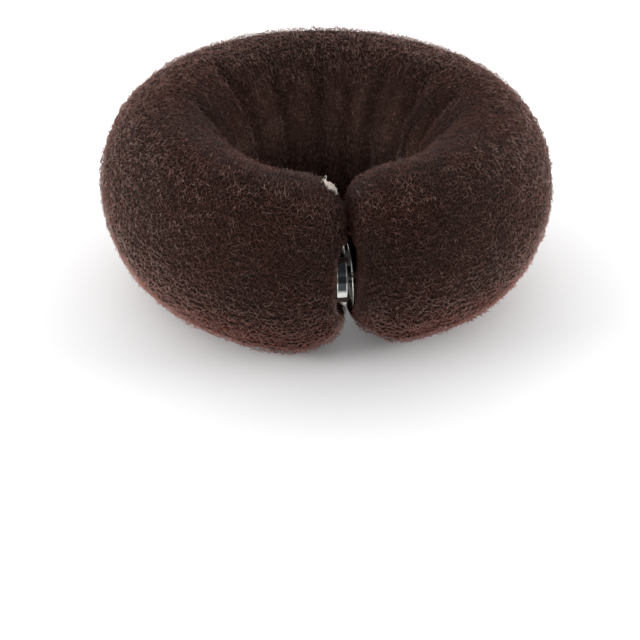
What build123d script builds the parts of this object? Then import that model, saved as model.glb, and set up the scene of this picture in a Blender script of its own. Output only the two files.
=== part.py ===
from build123d import *
from collections import namedtuple
from math import asin, cos, exp, hypot, pi, radians, sin, sqrt
import os

# Hair bun maker: a thick roll of wound net, bent into a ring and closed at its ends by a
# sewn-on press stud. Millimetres, +Z up. The origin is on the axis of the hole that the hair
# goes through, on the surface that the ring lies on. The two ends of the roll meet at -Y.

# Ring of wound net
ring_radius = 33.4  # from the axis of the hole to the middle of the roll
roll_width = 29.7  # from the hole to the outside
roll_height = 40.6  # before the underside is pressed flat
outward_lean = 1.2  # how far the crown of the roll stands out beyond its middle
foot_depth = 0.6  # how much of the underside its own weight presses flat

# Ends of the roll, which face each other across the gap
end_gap = 0.8  # between the two end faces
end_face_share = 0.50  # size of the flat end face, as a share of the roll's section
end_length = 9.5  # how far each end is rounded, along the roll
shoulder_share = 0.90  # section where an end's own rings meet the roll's rings
left_lip_shift = 0.6  # how far the lower lip of the left end stands to the right
right_lip_shift = 1.1  # and that of the right end
lip_reach = 15.0  # over which a lip's shift runs out, along the roll

# Press stud
snap_diameter = 13.0
snap_inset = 6.25  # of its rim, in from the outside of the roll
snap_drop = 0.7  # of its middle, below the middle of the roll
snap_shift = 0.4  # of the plane between its halves, towards the left end
snap_edge_round = 0.2
socket_thickness = 2.35
socket_back_wall = 0.4  # behind the bore that the head snaps into
flange_thickness = 0.55
flange_tilt = 3.2  # degrees, by which the loose flange leans in at the top
flange_clearance = 0.45  # between the socket and the flange's rim where it leans in
head_diameter = 3.4
head_clearance = 0.35
sewing_hole_diameter = 1.3
sewing_inset = 1.7  # from the rim to the middle of each sewing hole
sewing_holes = 4
socket_stitch_turn = 58.0  # degrees from the outside, up, to the first sewing hole
stud_stitch_turn = 30.0

# Dimple that the stitches draw into each end of the roll
snap_clearance = 0.3
dimple_margin = 1.5  # flat floor of the dimple beyond the stud's rim, inward and outward
dimple_top_margin = 2.8  # and above it
dimple_foot_margin = 0.4  # and below it
dimple_slope = 1.4  # over which the dimple runs out
dimple_opening = 2.0  # how many times further the dimple runs on the outside of the ring
dimple_foot_opening = 1.2  # and below the stud
opening_rise = 8.0  # height over which one opening passes into the other
dimple_flare = 0.25  # how fast the dimple deepens outside, as a slope

# Fineness of the roll's surface
section_points = 32
roll_rings = 110
shoulder_rings = 5
rounding_rings = 4

# Section of the roll, from its left end round the back to its right end:
# turn is a share of the way round, width and height are shares of roll_width and roll_height,
# inward and lift are how far the section lies off the plain ring, as shares of the same two.
Section = namedtuple("Section", "turn width height inward lift")
sections = [
    Section(0.00, 1.00, 0.965, 0.00, 0.016),
    Section(0.06, 1.01, 1.000, 0.00, 0.000),
    Section(0.17, 1.05, 1.010, 0.03, 0.000),
    Section(0.28, 1.00, 1.000, 0.00, 0.000),
    Section(0.76, 1.00, 1.000, 0.00, 0.000),
    Section(0.86, 1.04, 1.010, 0.02, 0.002),
    Section(0.94, 1.01, 0.985, 0.01, 0.024),
    Section(1.00, 1.00, 0.930, 0.00, 0.060),
]

# Folds that the bend gathers on the wall of the hole:
# turn is where the fold is, depth a share of the section's half size, spread a share of the
# turn, slant how far it has moved on along the turn at the crown, and reach how far up it
# runs from the wall of the hole (0) to the crown of the roll (1).
Fold = namedtuple("Fold", "turn depth spread slant reach")
folds = [
    Fold(0.055, 0.050, 0.010, 0.000, 0.60),
    Fold(0.112, 0.070, 0.011, 0.004, 0.65),
    Fold(0.165, 0.060, 0.010, 0.000, 0.55),
    Fold(0.222, 0.080, 0.010, -0.004, 0.70),
    Fold(0.280, 0.115, 0.012, 0.010, 0.85),
    Fold(0.332, 0.080, 0.010, -0.006, 0.65),
    Fold(0.384, 0.135, 0.012, -0.012, 0.98),
    Fold(0.447, 0.115, 0.010, -0.014, 0.75),
    Fold(0.510, 0.135, 0.012, -0.003, 0.70),
    Fold(0.556, 0.070, 0.009, 0.000, 0.60),
    Fold(0.598, 0.120, 0.011, 0.004, 0.75),
    Fold(0.656, 0.130, 0.012, 0.006, 0.90),
    Fold(0.716, 0.120, 0.012, 0.010, 0.90),
    Fold(0.778, 0.090, 0.011, 0.012, 0.80),
    Fold(0.830, 0.060, 0.010, 0.004, 0.55),
    Fold(0.885, 0.075, 0.011, 0.000, 0.65),
    Fold(0.945, 0.050, 0.010, 0.000, 0.60),
]
fold_foot = 75.0  # degrees below the wall of the hole at which every fold has run out

turn_length = 2 * pi * ring_radius
section_height = roll_height / 2 - foot_depth  # of the middle of the section
snap_radius = snap_diameter / 2
snap_out = ring_radius + roll_width / 2 - snap_inset - snap_radius
snap_height = section_height - snap_drop
sewing_radius = snap_radius - sewing_inset
flange_lean = snap_radius * sin(radians(flange_tilt))
flange_gap = flange_lean + flange_clearance  # between the socket and the flange's middle
bore_depth = socket_thickness - socket_back_wall
head_length = bore_depth - head_clearance
dimple_radius = snap_radius + dimple_margin
socket_dimple = snap_shift + socket_thickness + snap_clearance
stud_dimple = flange_gap + flange_lean + flange_thickness - snap_shift + snap_clearance
section_angles = [360 * step / section_points for step in range(section_points)]


def eased(share):
    """A share held between 0 and 1, and eased at both."""
    share = min(max(share, 0), 1)
    return share * share * (3 - 2 * share)


def at_turn(column, turn):
    """One column of the table of sections at a turn, eased from each row to the next."""
    for low, high in zip(sections, sections[1:]):
        if turn <= high.turn:
            ease = eased((turn - low.turn) / (high.turn - low.turn))
            return getattr(low, column) * (1 - ease) + getattr(high, column) * ease
    return getattr(sections[-1], column)


def fold_draw(turn, angle):
    """How far the folds draw the surface in at one place, as a share of the section's size."""
    rise = (180 - angle) / 90
    draw = 0
    for fold in folds:
        run = rise / fold.reach if rise > 0 else -rise * 90 / fold_foot
        if run < 1:
            off = (turn - fold.turn - fold.slant * rise) / fold.spread
            draw += fold.depth * (1 - run**4) ** 2 * exp(-off * off)
    return draw


def section_point(turn, angle, size=1.0):
    """Distance from the axis of the hole and height of a point on the roll's section."""
    reach = size * (1 - fold_draw(turn, angle))
    half_width = roll_width / 2 * at_turn("width", turn)
    half_height = roll_height / 2 * at_turn("height", turn)
    middle = ring_radius - roll_width * at_turn("inward", turn)
    lean = outward_lean * sin(radians(angle)) * size
    out = middle + half_width * reach * cos(radians(angle)) + lean
    rise = section_height + roll_height * at_turn("lift", turn)
    height = rise + half_height * reach * sin(radians(angle))
    return out, max(height, 0)


def lip_shift(side, from_end, height):
    """How far to the right a point near the left (-1) or right (1) end stands."""
    shift = left_lip_shift if side < 0 else right_lip_shift
    return shift * eased(1 - height / snap_height) * eased(1 - from_end / lip_reach)


def ring_at(turn, size=1.0):
    """The points of the roll's section at a turn."""
    round_hole = radians(360 * turn)
    side = -1 if turn < 0.5 else 1
    from_end = min(turn, 1 - turn) * turn_length
    ring = []
    for angle in section_angles:
        out, height = section_point(turn, angle, size)
        across = lip_shift(side, from_end, height) - out * sin(round_hole)
        ring.append((across, -out * cos(round_hole), height))
    return ring


def rounding(size):
    """How far along the roll from its end face the rounded end reaches a share of its size."""
    rise = min(max((size - end_face_share) / (1 - end_face_share), 0), 1)
    return end_length * (1 - sqrt(1 - rise * rise))


def dimple_tall(rise):
    """How far the flat floor of a dimple reaches above or below the middle of the snap."""
    return snap_radius + (dimple_top_margin if rise > 0 else dimple_foot_margin)


def end_depth(out, height, turn, dimple):
    """How far a point on the end of the roll lies from the plane between the two ends."""
    middle = section_height + roll_height * at_turn("lift", turn)
    size = hypot((out - ring_radius) / (roll_width / 2), (height - middle) / (roll_height / 2))
    rounded = out * sin((end_gap / 2 + rounding(size)) / ring_radius)
    outward = max(out - snap_out, 0)
    inward = max(snap_out - out, 0)
    rise = height - snap_height
    wider = (dimple_opening - dimple_foot_opening) * eased(rise / opening_rise + 0.5)
    across = outward / (dimple_foot_opening + wider) + inward
    beyond = (hypot(across / dimple_radius, rise / dimple_tall(rise)) - 1) * dimple_radius
    floor = dimple + dimple_flare * max(outward - dimple_radius, 0)
    return max(rounded, floor * eased(1 - beyond / dimple_slope))


def end_ring(side, blend):
    """Points round one end of the roll, from the dimple's rim (0) to the shoulder (1)."""
    turn = 0.0 if side < 0 else 1.0
    dimple = socket_dimple if side < 0 else stud_dimple
    ring = []
    for angle in section_angles:
        shoulder_out, shoulder_height = section_point(turn, angle, shoulder_share)
        rim_out = snap_out + dimple_radius * cos(radians(angle))
        rim_rise = sin(radians(angle))
        rim_height = snap_height + dimple_tall(rim_rise) * rim_rise
        out = rim_out + (shoulder_out - rim_out) * blend
        height = rim_height + (shoulder_height - rim_height) * blend
        depth = end_depth(out, height, turn, dimple)
        from_end = end_gap / 2 + rounding(shoulder_share) * blend
        across = side * depth + lip_shift(side, from_end, height) * blend
        ring.append((across, -sqrt(out * out - depth * depth), height))
    return ring


# The turns and sizes of the rings on the rounded stretch next to the left end
shoulder_angle = asin((shoulder_share - end_face_share) / (1 - end_face_share))
rounding_angles = [
    shoulder_angle + (pi / 2 - shoulder_angle) * step / rounding_rings
    for step in range(1, rounding_rings)
]
rounding_sizes = [end_face_share + (1 - end_face_share) * sin(angle) for angle in rounding_angles]
rounding_turns = [(end_gap / 2 + rounding(size)) / turn_length for size in rounding_sizes]
first_turn = (end_gap / 2 + end_length) / turn_length
roll_turns = [
    first_turn + (1 - 2 * first_turn) * step / (roll_rings - 1) for step in range(roll_rings)
]
end_blends = [step / shoulder_rings for step in range(shoulder_rings + 1)]

rings = [end_ring(-1, blend) for blend in end_blends]
rings += [ring_at(turn, size) for turn, size in zip(rounding_turns, rounding_sizes)]
rings += [ring_at(turn) for turn in roll_turns]
rings += [
    ring_at(1 - turn, size)
    for turn, size in zip(reversed(rounding_turns), reversed(rounding_sizes))
]
rings += [end_ring(1, blend) for blend in reversed(end_blends)]


def roll_faces():
    """Triangles round the middle of each dimple's floor, and between neighbouring rings."""
    corners = []
    for rim in (rings[0], rings[-1]):
        middle = tuple(sum(values) / section_points for values in zip(*rim))
        for place in range(section_points):
            corners.append([middle, rim[place - 1], rim[place]])
    for near, far in zip(rings, rings[1:]):
        for place in range(section_points):
            corners.append([near[place - 1], near[place], far[place - 1]])
            corners.append([near[place], far[place], far[place - 1]])
    return [Face(Wire.make_polygon(triangle)) for triangle in corners]


with BuildPart() as net_roll:
    add(Solid(Shell(roll_faces())))
net_roll.part.label = "net_roll"

# The socket half of the press stud, on the left end of the roll. Its plane faces the other
# end, with its x axis pointing out of the ring.
socket_plane = Plane(
    origin=(-snap_shift, -snap_out, snap_height),
    x_dir=(0, -1, 0),
    z_dir=(1, 0, 0),
)

with BuildPart() as snap_socket:
    with BuildSketch(socket_plane):
        Circle(snap_radius)
    extrude(amount=-socket_thickness)
    fillet(snap_socket.edges(), radius=snap_edge_round)
    with Locations(socket_plane):
        Hole(radius=head_diameter / 2 + head_clearance, depth=bore_depth)
        with PolarLocations(sewing_radius, sewing_holes, start_angle=-socket_stitch_turn):
            Hole(radius=sewing_hole_diameter / 2, depth=socket_thickness)
snap_socket.part.label = "snap_socket"

# The stud half, on the right end: a thin flange, tilted in its play, with the head that snaps
# into the socket. Its plane faces the socket.
lean = radians(flange_tilt)
stud_plane = Plane(
    origin=(flange_gap - snap_shift, -snap_out, snap_height),
    x_dir=(0, -1, 0),
    z_dir=(-cos(lean), 0, -sin(lean)),
)

with BuildPart() as snap_stud:
    with BuildSketch(stud_plane):
        Circle(snap_radius)
    extrude(amount=-flange_thickness)
    fillet(snap_stud.edges(), radius=snap_edge_round)
    with Locations(stud_plane):
        with PolarLocations(sewing_radius, sewing_holes, start_angle=stud_stitch_turn):
            Hole(radius=sewing_hole_diameter / 2, depth=flange_thickness)
    with BuildSketch(stud_plane):
        Circle(head_diameter / 2)
    extrude(amount=flange_gap + head_length)
    head_rim = snap_stud.edges().sort_by(Axis(stud_plane.origin, stud_plane.z_dir))[-1]
    fillet(head_rim, radius=head_diameter / 5)
snap_stud.part.label = "snap_stud"

os.makedirs("parts", exist_ok=True)
export_step(net_roll.part, "parts/net_roll.step")
export_step(snap_socket.part, "parts/snap_socket.step")
export_step(snap_stud.part, "parts/snap_stud.step")
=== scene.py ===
import logging
from collections.abc import Callable
from dataclasses import dataclass, field
from enum import Enum
from typing import Any, NamedTuple

import bpy
import numpy as np
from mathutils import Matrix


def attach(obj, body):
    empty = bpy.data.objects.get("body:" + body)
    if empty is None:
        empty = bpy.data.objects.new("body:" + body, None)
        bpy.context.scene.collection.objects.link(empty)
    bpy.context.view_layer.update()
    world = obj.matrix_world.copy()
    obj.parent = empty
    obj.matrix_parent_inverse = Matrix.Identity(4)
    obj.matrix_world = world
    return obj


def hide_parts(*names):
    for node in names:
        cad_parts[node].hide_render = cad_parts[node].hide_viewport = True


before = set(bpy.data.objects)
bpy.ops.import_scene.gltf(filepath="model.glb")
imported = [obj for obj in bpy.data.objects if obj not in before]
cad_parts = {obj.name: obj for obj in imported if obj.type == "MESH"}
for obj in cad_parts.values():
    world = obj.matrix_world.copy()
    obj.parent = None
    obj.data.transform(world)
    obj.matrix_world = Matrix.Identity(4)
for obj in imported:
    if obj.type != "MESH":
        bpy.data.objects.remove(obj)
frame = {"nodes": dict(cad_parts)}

# Hair bun maker: a roll of wound crinkled net bent into a ring, and the press stud that holds
# its two ends together. Lengths in the classes are millimetres; meshes are made in metres.

MM = 0.001
LANE_MARGIN = 0.08  # of a strand's lane on the bake's map, left free at either side
CAP_SPOT = 0.3  # size of a strand's cap on the bake's map, as a share of a lane
CAP_INSET = 0.002  # distance of the caps from the bake map's edges
Array = np.ndarray
Colour = tuple[float, float, float, float]
Point = tuple[float, float, float]
log = logging.getLogger("bun_maker")


def linear(red: int, green: int, blue: int) -> Colour:
    """A colour of 0 to 255 levels as the linear values that shaders take.

    Args:
        red: level of red.
        green: level of green.
        blue: level of blue.

    Returns:
        Linear red, green, blue and an alpha of 1, by the sRGB curve.
    """
    levels = np.array([red, green, blue]) / 255
    values = np.where(levels <= 0.04045, levels / 12.92, ((levels + 0.055) / 1.055) ** 2.4)
    return (*values.tolist(), 1.0)


def smooth_step(share: Array) -> Array:
    """Ease from 0 to 1: 3 s^2 - 2 s^3 with s held between 0 and 1."""
    share = np.clip(share, 0, 1)
    return share * share * (3 - 2 * share)


def unit(vectors: Array) -> Array:
    """Vectors divided by their lengths."""
    return vectors / np.maximum(np.linalg.norm(vectors, axis=-1, keepdims=True), 1e-12)


def wander(
    rng: np.random.Generator, shape: tuple[int, ...], reach: int, rows: int = 1
) -> Array:
    """Seeded noise that drifts along the last axis, and over rows along the first.

    White noise goes twice through a moving average along each axis, joined end to start, and
    is then divided by its own spread.

    Args:
        rng: the seeded source.
        shape: shape of the result.
        reach: points over which the noise changes.
        rows: rows over which it changes.

    Returns:
        Noise of mean 0 and spread 1.
    """
    noise = rng.standard_normal(shape)
    for axis, width in ((-1, reach), (-1, reach), (0, rows), (0, rows)):
        if width > 1:
            noise = np.moveaxis(noise, axis, -1)
            total = np.cumsum(np.concatenate([noise[..., -width:], noise], axis=-1), axis=-1)
            noise = np.moveaxis((total[..., width:] - total[..., :-width]) / width, -1, axis)
    noise = noise - noise.mean()
    return noise / noise.std()


class Stray(NamedTuple):
    """A kind of noise: its amount, and the points and rows over which it drifts."""

    amount: float
    reach: int
    rows: int = 1

    def draw(self, rng: np.random.Generator, shape: tuple[int, ...]) -> Array:
        """The next noise of this kind."""
        return self.amount * wander(rng, shape, self.reach, self.rows)


class Ease(NamedTuple):
    """A share that goes smoothly from 0 at its start to 1 at its end, up or down."""

    start: float
    end: float

    def at(self, value: Array) -> Array:
        """The share at a value: smooth_step((value - start) / (end - start))."""
        return smooth_step((value - self.start) / (self.end - self.start))


class Bell(NamedTuple):
    """A height at one middle that fades away to either side."""

    middle: float
    spread: float
    height: float = 1.0

    def off(self, way: Array) -> Array:
        """The height at some way from the middle: height exp(-(way / spread)^2)."""
        return self.height * np.exp(-((way / self.spread) ** 2))

    def at(self, value: Array) -> Array:
        """The height at a value."""
        return self.off(value - self.middle)

    def around(self, angle: Array) -> Array:
        """The height at an angle in degrees, by the shorter way round from the middle."""
        return self.off(np.mod(angle - self.middle + 180, 360) - 180)


class Stop(NamedTuple):
    """A value at an angle round the section."""

    angle: float
    value: float


def between(stops: tuple[Stop, ...], angle: Array) -> Array:
    """The value at an angle, changing evenly from each stop to the next."""
    return np.interp(angle, *zip(*stops))


# ---------------------------------------------------------------- shaders


def math_node(operation: str, turned: bool = False) -> "Callable[..., Wire]":
    """A method of Wire that adds a Math node.

    Args:
        operation: the node's operation.
        turned: whether the other value comes first.

    Returns:
        The method.
    """

    def method(wire: "Wire", other: Any = 0.0) -> "Wire":
        """The result of the operation on this value and the other, if it takes two."""
        values = {0: other, 1: wire} if turned else {0: wire, 1: other}
        return wire.paint.node("ShaderNodeMath", {"operation": operation}, values)

    return method


class Wire:
    """The output of a shader node. Arithmetic on it adds Math nodes."""

    __add__ = __radd__ = math_node("ADD")
    __mul__ = __rmul__ = math_node("MULTIPLY")
    __sub__, __rsub__ = math_node("SUBTRACT"), math_node("SUBTRACT", turned=True)
    __abs__ = math_node("ABSOLUTE")
    larger, smaller = math_node("MAXIMUM"), math_node("MINIMUM")

    def __init__(self, paint: "Paint", socket: bpy.types.NodeSocket) -> None:
        """Keeps the socket and the material that it belongs to."""
        self.paint, self.socket = paint, socket


class Paint:
    """A node material, or the world, under construction."""

    def __init__(self, owner: bpy.types.Material | bpy.types.World) -> None:
        """Clears the owner's node tree."""
        owner.use_nodes = True
        self.owner, self.tree = owner, owner.node_tree
        self.tree.nodes.clear()

    def node(
        self,
        kind: str,
        settings: dict[str, Any] | None = None,
        inputs: dict[int | str, Any] | None = None,
        output: int | str = 0,
    ) -> Wire:
        """Adds a node.

        Args:
            kind: the node's type.
            settings: its properties, set first; "stops" gives a ramp's places and colours.
            inputs: values or wires by socket number or name.
            output: the socket that is returned.

        Returns:
            The output as a wire.
        """
        made = self.tree.nodes.new(kind)
        for name, value in (settings or {}).items():
            if name == "stops":
                elements = made.color_ramp.elements
                while len(elements) < len(value):
                    elements.new(1.0)
                for element, (place, colour) in zip(elements, value):
                    element.position, element.color = place, colour
            else:
                setattr(made, name, value)
        for name, value in (inputs or {}).items():
            socket = made.inputs[name]
            if isinstance(value, Wire):
                self.tree.links.new(value.socket, socket)
            else:
                socket.default_value = value
        return Wire(self, made.outputs[output] if made.outputs else None)

    def blend(self, share: Any, first: Any, second: Any) -> Wire:
        """Two colours mixed, from the first at share 0 to the second at 1."""
        inputs = {0: share, 6: first, 7: second}
        return self.node("ShaderNodeMix", {"data_type": "RGBA"}, inputs, output=2)

    def vector(
        self, operation: str, first: Any, second: Any = (0.0, 0.0, 0.0), output: int | str = 0
    ) -> Wire:
        """A Vector Math node on places or directions."""
        inputs = {0: first, 1: second}
        return self.node("ShaderNodeVectorMath", {"operation": operation}, inputs, output)

    def place(self, scale: Point = (1.0, 1.0, 1.0)) -> Wire:
        """Object coordinates, in metres, times a scale."""
        return self.vector("MULTIPLY", self.node("ShaderNodeTexCoord", output="Object"), scale)

    def axis(self, where: Wire, name: str) -> Wire:
        """A place's X, Y or Z."""
        return self.node("ShaderNodeSeparateXYZ", None, {0: where}, name)

    def tone(self) -> Wire:
        """The mesh's own attribute "tone"."""
        return self.node("ShaderNodeAttribute", {"attribute_name": "tone"}, output="Fac")

    def noise(self, where: Wire, scale: float, detail: float = 2.0) -> Wire:
        """Noise around 0.5 at a place, in cells per unit."""
        inputs = {"Vector": where, "Scale": scale, "Detail": detail}
        return self.node("ShaderNodeTexNoise", None, inputs)

    def spread(self, value: Wire, low: float, high: float) -> Wire:
        """A value stretched so that low becomes 0 and high becomes 1, held between them."""
        return self.node("ShaderNodeMapRange", None, {0: value, 1: low, 2: high})

    def bump(self, height: Wire, strength: float, distance: float) -> Wire:
        """The surface's direction tilted by a height, of so many metres at 1."""
        inputs = {"Strength": strength, "Distance": distance, "Height": height}
        return self.node("ShaderNodeBump", None, inputs, "Normal")

    def surface(
        self, inputs: dict[int | str, Any], through: Any = None, share: Any = 0.0
    ) -> bpy.types.Material:
        """Ends the material in a Principled shader.

        Args:
            inputs: the shader's inputs.
            through: colour of the light that passes through the surface, if any does.
            share: how much of the surface lets it pass.

        Returns:
            The material.
        """
        shader = self.node("ShaderNodeBsdfPrincipled", None, inputs)
        if through is not None:
            passed = self.node("ShaderNodeBsdfTranslucent", None, {"Color": through})
            shader = self.node("ShaderNodeMixShader", None, {0: share, 1: shader, 2: passed})
        self.node("ShaderNodeOutputMaterial", None, {"Surface": shader})
        return self.owner


@dataclass(frozen=True)
class ThreadFinish:
    """Nylon thread that goes from deep to pale by its tone, and lets some light through."""

    name: str
    # the ramp by tone; on the net its deep end is painted shade on sunk threads and its pale end
    # painted light on raised ones
    deep: Colour
    middle: Colour
    raised: Colour
    pale: Colour
    # colour of random warm patches, and of the painted bounce light low down
    patch_and_bounce: Colour
    through: Colour
    sheen_tint: Colour
    share_through: float = 0.3
    roughness: float = 0.38
    shine: float = 0.5
    sheen: float = 0.0
    sheen_roughness: float = 0.35
    fuzz_roughness: float = 0.16
    stops: tuple[float, ...] = (0.0, 0.4, 0.8, 1.0)
    patch_warmth: float = 0.09
    # painted bounce light: how strong it is, and the height where it fades out
    painted_bounce: float = 0.9
    bounce_height: float = 16.0
    deep_warmth: float = 1.2
    raised_cooler: float = 0.75
    deep_through: float = 0.2
    raised_through: float = 0.6

    def material(self) -> bpy.types.Material:
        """A ramp of four colours by tone, with a warmer one in random patches and low down,
        where it is painted bounce light.

        The warm colour is stronger, and less light passes, where the tone is deep.

        Returns:
            The material.
        """
        paint = Paint(bpy.data.materials.new(self.name))
        tone, where = paint.tone(), paint.place()
        stops = list(zip(self.stops, (self.deep, self.middle, self.raised, self.pale)))
        ramp = paint.node("ShaderNodeValToRGB", {"stops": stops}, {0: tone})
        patch = paint.spread(paint.noise(where, scale=90.0, detail=3.0), low=0.4, high=0.65)
        # Painted bounce light: a warm share that grows towards the floor.
        foot = paint.spread(paint.axis(where, "Z"), low=self.bounce_height * MM, high=0.0)
        patch_and_bounce_share = patch * self.patch_warmth + foot * self.painted_bounce
        patch_and_bounce_share = patch_and_bounce_share * (self.deep_warmth - tone * self.raised_cooler)
        fuzz = paint.noise(where, scale=4000.0)
        return paint.surface(
            {
                "Base Color": paint.blend(patch_and_bounce_share, ramp, self.patch_and_bounce),
                "Roughness": self.roughness + (fuzz - 0.5) * self.fuzz_roughness,
                "Specular IOR Level": self.shine,
                "Sheen Weight": self.sheen,
                "Sheen Roughness": self.sheen_roughness,
                "Sheen Tint": self.sheen_tint,
                "Normal": paint.bump(fuzz, strength=0.3, distance=0.03 * MM),
            },
            self.through,
            (self.deep_through + tone * self.raised_through) * self.share_through,
        )


@dataclass(frozen=True)
class NetSkinFinish:
    """Deeper layers of the wound net, seen between the threads."""

    name: str
    # gap: nearly black, painted shade deep in the net; near: the colour of the skin's painted light
    gap: Colour
    thread: Colour
    wall: Colour
    near: Colour

    def material(self) -> bpy.types.Material:
        """Thin ridges of two noises as the threads below, on nearly black gaps of painted shade.

        By the skin's tone, gaps and threads get painted light beside the snap and in the hole.
        A ridge is 1 - |noise - 0.5| / width, held at 0: a line where the noise crosses its
        middle.

        Returns:
            The material.
        """
        paint = Paint(bpy.data.materials.new(self.name))
        tone, where = paint.tone(), paint.place()

        def strands(scale: float, width: float) -> Wire:
            """Lines of the layer below, at so many per metre."""
            off = abs(paint.noise(where, scale, detail=1.0) - 0.5)
            return paint.spread(off, low=width, high=0.0)

        deeper = strands(scale=2600.0, width=0.08)
        lines = strands(scale=1700.0, width=0.06).larger(deeper * 0.6)
        patch = paint.spread(paint.noise(where, scale=60.0, detail=3.0), low=0.35, high=0.7)
        # The tone paints light on threads and gaps, towards the near colour.
        thread = paint.blend(tone, paint.blend(patch, self.thread, self.wall), self.near)
        gap = paint.blend(tone * 0.6, self.gap, self.near)
        return paint.surface(
            {
                "Base Color": paint.blend(lines, gap, thread),
                "Roughness": 0.85 - lines * 0.25,
                "Specular IOR Level": 0.05,
                "Normal": paint.bump(lines, strength=0.8, distance=0.3 * MM),
            }
        )


@dataclass(frozen=True)
class PolishedMetalFinish:
    """Nickel plate with hairline scratches and faint handling marks, and painted shade."""

    name: str
    bright: Colour
    dull: Colour
    # colour of the painted shade on the faces and on the middle of the barrel
    painted_shade: Colour
    middle: Point
    bright_radius: float
    barrel_half: float

    def material(self) -> bpy.types.Material:
        """Scratches are noise drawn out along two directions; marks are a slow noise.

        The metal has painted shade on its faces, by the distance from the snap's axis, and on the
        middle of the barrel's wall, by the distance from the middle's plane, which darkens its
        reflection there; its foot and its edges are left the plain, bright plate.

        Returns:
            The material.
        """
        paint = Paint(bpy.data.materials.new(self.name))
        where = paint.place()
        along = paint.noise(paint.place((900.0, 900.0, 9000.0)), scale=1.0, detail=4.0)
        across = paint.noise(paint.place((7000.0, 500.0, 900.0)), scale=1.0, detail=3.0)
        marks = paint.spread(paint.noise(where, scale=500.0, detail=4.0), low=0.45, high=0.75)
        scratch = paint.spread(along, low=0.6, high=0.72) * 0.6
        scratch = scratch + paint.spread(across, low=0.64, high=0.74) * 0.4
        side, front, height = (value * MM for value in self.middle)
        off = paint.vector("SUBTRACT", paint.place((0.0, 1.0, 1.0)), (0.0, front, height))
        radius = paint.vector("LENGTH", off, output="Value")
        # Painted shade: inside bright_radius, and near the barrel's middle plane above its foot,
        # the plate turns to the dark painted shade colour.
        rim = paint.spread(radius, (self.bright_radius - 0.15) * MM, self.bright_radius * MM)
        beside = abs(paint.axis(where, "X") - side)
        edge = paint.spread(beside, (self.barrel_half - 0.4) * MM, (self.barrel_half - 0.2) * MM)
        foot = paint.spread(paint.axis(where, "Z"), height + 0.3 * MM, height - 0.5 * MM)
        plate = paint.blend(marks * 0.5, self.bright, self.dull)
        return paint.surface(
            {
                "Base Color": paint.blend(rim * edge.larger(foot), self.painted_shade, plate),
                "Metallic": 1.0,
                "Roughness": 0.07 + marks * 0.1 + scratch * 0.15,
                "Normal": paint.bump(along, strength=0.12, distance=0.02 * MM),
            }
        )


@dataclass(frozen=True)
class FloorFinish:
    """Matt white studio floor."""

    name: str
    colour: Colour

    def material(self) -> bpy.types.Material:
        """A faint fine grain on an even tone."""
        paint = Paint(bpy.data.materials.new(self.name))
        rough = 0.75 + paint.noise(paint.place(), scale=700.0) * 0.1
        look = {"Base Color": self.colour, "Roughness": rough, "Specular IOR Level": 0.2}
        return paint.surface(look)


# The gap is painted shade deep in the net; near is the colour of the painted light beside the snap
# and in the hole.
NET_SKIN = NetSkinFinish(
    "deep_net",
    gap=linear(18, 10, 7),
    thread=linear(74, 52, 44),
    wall=linear(68, 43, 35),
    near=linear(132, 97, 85),
)
NET_THREAD = ThreadFinish(
    "net_thread",
    deep=linear(30, 18, 12),
    middle=linear(62, 47, 40),
    raised=linear(144, 136, 130),
    pale=linear(196, 176, 164),
    # random warm patches, and the painted bounce light low down
    patch_and_bounce=linear(160, 54, 38),
    through=linear(216, 146, 124),
    sheen_tint=linear(230, 150, 126),
    share_through=0.75,
    roughness=0.58,
    shine=0.3,
    sheen=0.2,
)
PALE_FIBRE = ThreadFinish(
    "pale_fibre",
    deep=linear(226, 204, 190),
    middle=linear(250, 238, 228),
    raised=linear(255, 250, 244),
    pale=linear(255, 252, 248),
    patch_and_bounce=linear(240, 210, 190),
    through=linear(255, 235, 220),
    sheen_tint=linear(255, 245, 235),
)
SEWING_THREAD = ThreadFinish(
    "sewing_thread",
    deep=linear(40, 26, 22),
    middle=linear(64, 42, 36),
    raised=linear(84, 56, 48),
    pale=linear(96, 66, 57),
    patch_and_bounce=linear(90, 50, 42),
    through=linear(180, 120, 105),
    sheen_tint=linear(200, 150, 130),
    roughness=0.6,
)


# ---------------------------------------------------------------- meshes


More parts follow.
